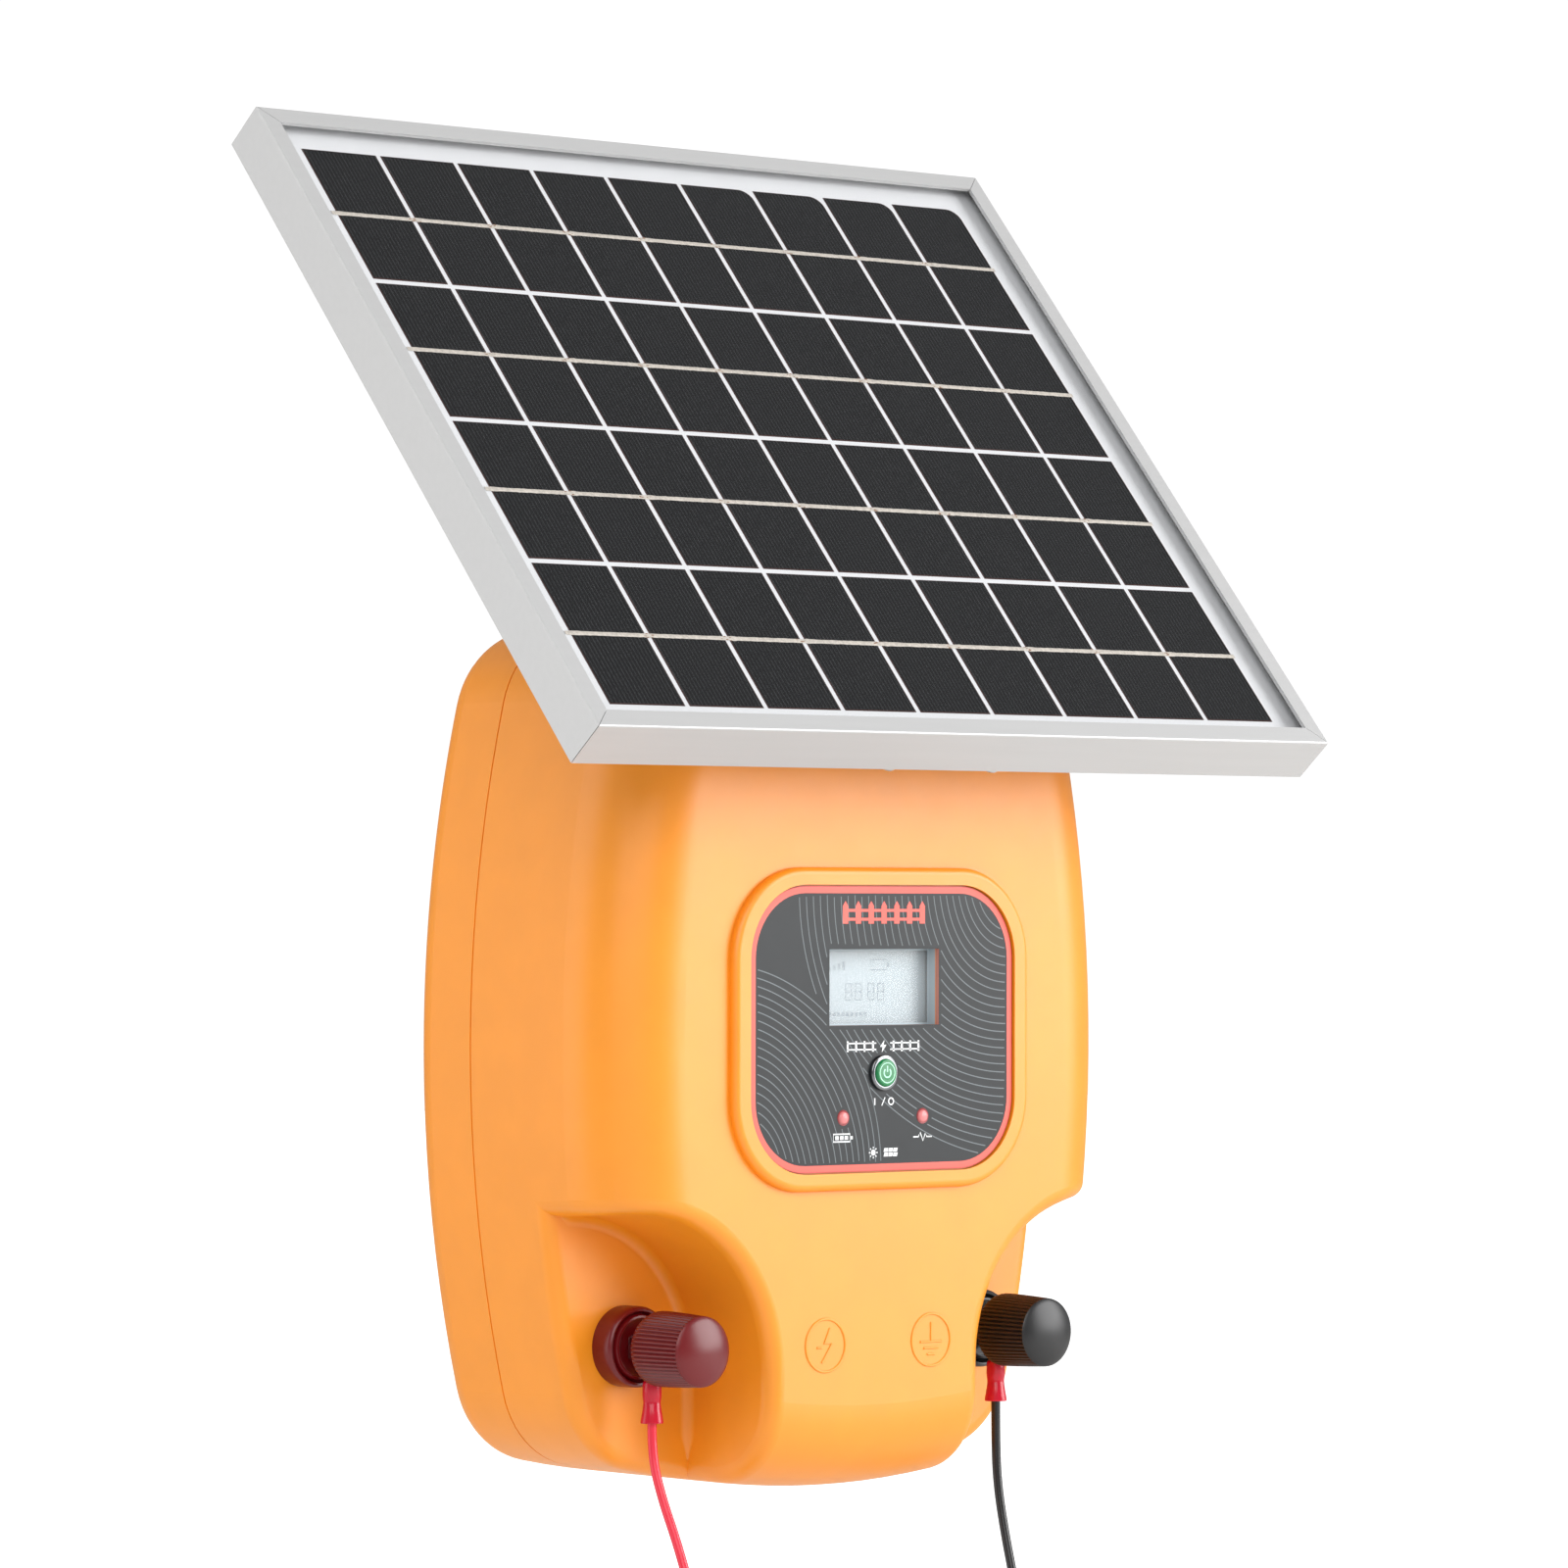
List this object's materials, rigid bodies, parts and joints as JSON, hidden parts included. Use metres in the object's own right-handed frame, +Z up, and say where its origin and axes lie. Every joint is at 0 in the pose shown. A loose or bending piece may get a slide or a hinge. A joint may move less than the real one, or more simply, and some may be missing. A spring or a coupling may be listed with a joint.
{
  "type": "solar electric fence energizer",
  "caption": "Barrel-shaped wall-hung fence energizer with a tilting solar panel, recessed screw terminals, a display label and clip-ended leads.",
  "frame": {"origin": "on the wall plane, at the centre of the wall bracket's four-hole pattern", "axes": "+Y points at the wall, the front faces -Y, +X is right as seen from the front, +Z is up"},
  "size_m": [0.312, 0.1842, 0.637],
  "materials": {
    "orange_plastic": "fine satin moulding texture",
    "seam_rubber": "matt",
    "zinc_screws": "bright zinc plate",
    "label_film": "printed film, slightly satin",
    "clear_window": "clear polycarbonate",
    "lcd_panel": "pale reflective display",
    "green_board": "solder mask",
    "led_red": "diffused red lens",
    "label_print": "screen-printed ink",
    "dark_chrome": "dark chrome ring",
    "green_button": "translucent green cap",
    "black_plastic": "fine satin",
    "iron_core": "varnished laminations",
    "winding_tape": "yellow polyester tape",
    "grey_film": "heat-shrink film",
    "black_aluminium": "black anodised",
    "zinc_sheet": "zinc-plated sheet steel",
    "ribbon_grey": "flat ribbon",
    "wire_insulation": "PVC",
    "dark_red_plastic": "semi-gloss moulding",
    "bright_steel": "nickel plate",
    "red_vinyl": "soft vinyl",
    "red_cord": "PVC insulation",
    "black_cord": "PVC insulation",
    "clip_steel": "nickel-plated spring steel",
    "anodised_frame": "silver anodised, satin",
    "panel_glass": "low-iron glass",
    "silicon_cell": "dark silicon",
    "white_backsheet": "white laminate"
  },
  "bodies": {
    "housing": {"front_cover": "orange_plastic", "rear_cover": "orange_plastic", "housing_gasket": "seam_rubber", "cover_screws": "zinc_screws", "label_overlay": "label_film", "lcd_window": "clear_window", "lcd_module": "lcd_panel", "display_board": "green_board", "status_leds": "led_red", "button_bezel": "dark_chrome", "power_switch": "black_plastic", "main_board": "green_board", "board_screws": "zinc_screws", "transformer_core": "iron_core", "transformer_winding": "winding_tape", "storage_capacitor": "grey_film", "thyristor_heatsink": "black_aluminium", "battery": "black_plastic", "battery_strap": "zinc_sheet", "display_ribbon": "ribbon_grey", "battery_wires": "wire_insulation", "output_wires": "wire_insulation", "red_collar": "dark_red_plastic", "black_collar": "black_plastic", "terminal_studs": "bright_steel", "terminal_nuts": "bright_steel", "lead_ring_terminals": "bright_steel", "lead_sleeves": "red_vinyl", "red_lead": "red_cord", "black_lead": "black_cord", "red_lead_coil": "red_cord", "black_lead_coil": "black_cord", "red_lead_tail": "red_cord", "black_lead_tail": "black_cord", "coil_ties": "black_plastic", "red_clip_base": "clip_steel", "black_clip_base": "clip_steel", "clip_pins": "bright_steel", "panel_yoke": "zinc_sheet", "yoke_screws": "zinc_screws", "pivot_bolt": "bright_steel", "pivot_nut": "bright_steel", "wall_bracket": "zinc_sheet", "hanger_screws": "zinc_screws", "panel_inlet": "black_plastic"},
    "panel": {"frame_end_rails": "anodised_frame", "frame_side_rails": "anodised_frame", "panel_glass": "panel_glass", "solar_cells": "silicon_cell", "panel_backsheet": "white_backsheet", "junction_box": "black_plastic", "panel_crossbar": "zinc_sheet", "crossbar_screws": "zinc_screws"},
    "power_button": {"power_button": "green_button"},
    "red_clamp": {"red_clamp_washer": "bright_steel"},
    "red_knob": {"red_knob": "dark_red_plastic"},
    "black_clamp": {"black_clamp_washer": "bright_steel"},
    "black_knob": {"black_knob": "black_plastic"},
    "red_jaw": {"red_clip_jaw": "clip_steel"},
    "black_jaw": {"black_clip_jaw": "clip_steel"}
  },
  "joints": [
    {"name": "panel_tilt", "type": "hinge", "parent": "housing", "child": "panel", "pos_m": [0, -0.08, 0.152], "axis": [1, 0, 0], "range_deg": [-30, 6]},
    {"name": "power_button_press", "type": "slide", "parent": "housing", "child": "power_button", "axis": [0, 1, 0], "range_m": [0, 0.0008], "stiffness_N_per_m": 400, "springref_m": -0.001},
    {"name": "red_clamp_travel", "type": "slide", "parent": "housing", "child": "red_clamp", "axis": [0, -1, 0], "range_m": [0, 0.005]},
    {"name": "red_knob_turn", "type": "hinge", "parent": "red_clamp", "child": "red_knob", "pos_m": [-0.0738, -0.126, -0.0993], "axis": [0, -1, 0], "range_deg": [0, 1444]},
    {"name": "black_clamp_travel", "type": "slide", "parent": "housing", "child": "black_clamp", "axis": [0, -1, 0], "range_m": [0, 0.005]},
    {"name": "black_knob_turn", "type": "hinge", "parent": "black_clamp", "child": "black_knob", "pos_m": [0.0738, -0.126, -0.0993], "axis": [0, -1, 0], "range_deg": [0, 1444]},
    {"name": "red_clip_open", "type": "hinge", "parent": "housing", "child": "red_jaw", "pos_m": [-0.0703, -0.1439, -0.301], "axis": [-1, 0, 0], "range_deg": [0, 20], "stiffness_Nm_per_rad": 0.1, "springref_deg": -20.05},
    {"name": "black_clip_open", "type": "hinge", "parent": "housing", "child": "black_jaw", "pos_m": [0.0777, -0.1335, -0.311], "axis": [-1, 0, 0], "range_deg": [0, 20], "stiffness_Nm_per_rad": 0.1, "springref_deg": -20.05}
  ],
  "couplings": [
    {"joint": "red_knob_turn", "follows": "red_clamp_travel", "rad_per_m": 5026.5},
    {"joint": "black_knob_turn", "follows": "black_clamp_travel", "rad_per_m": 5026.5}
  ]
}
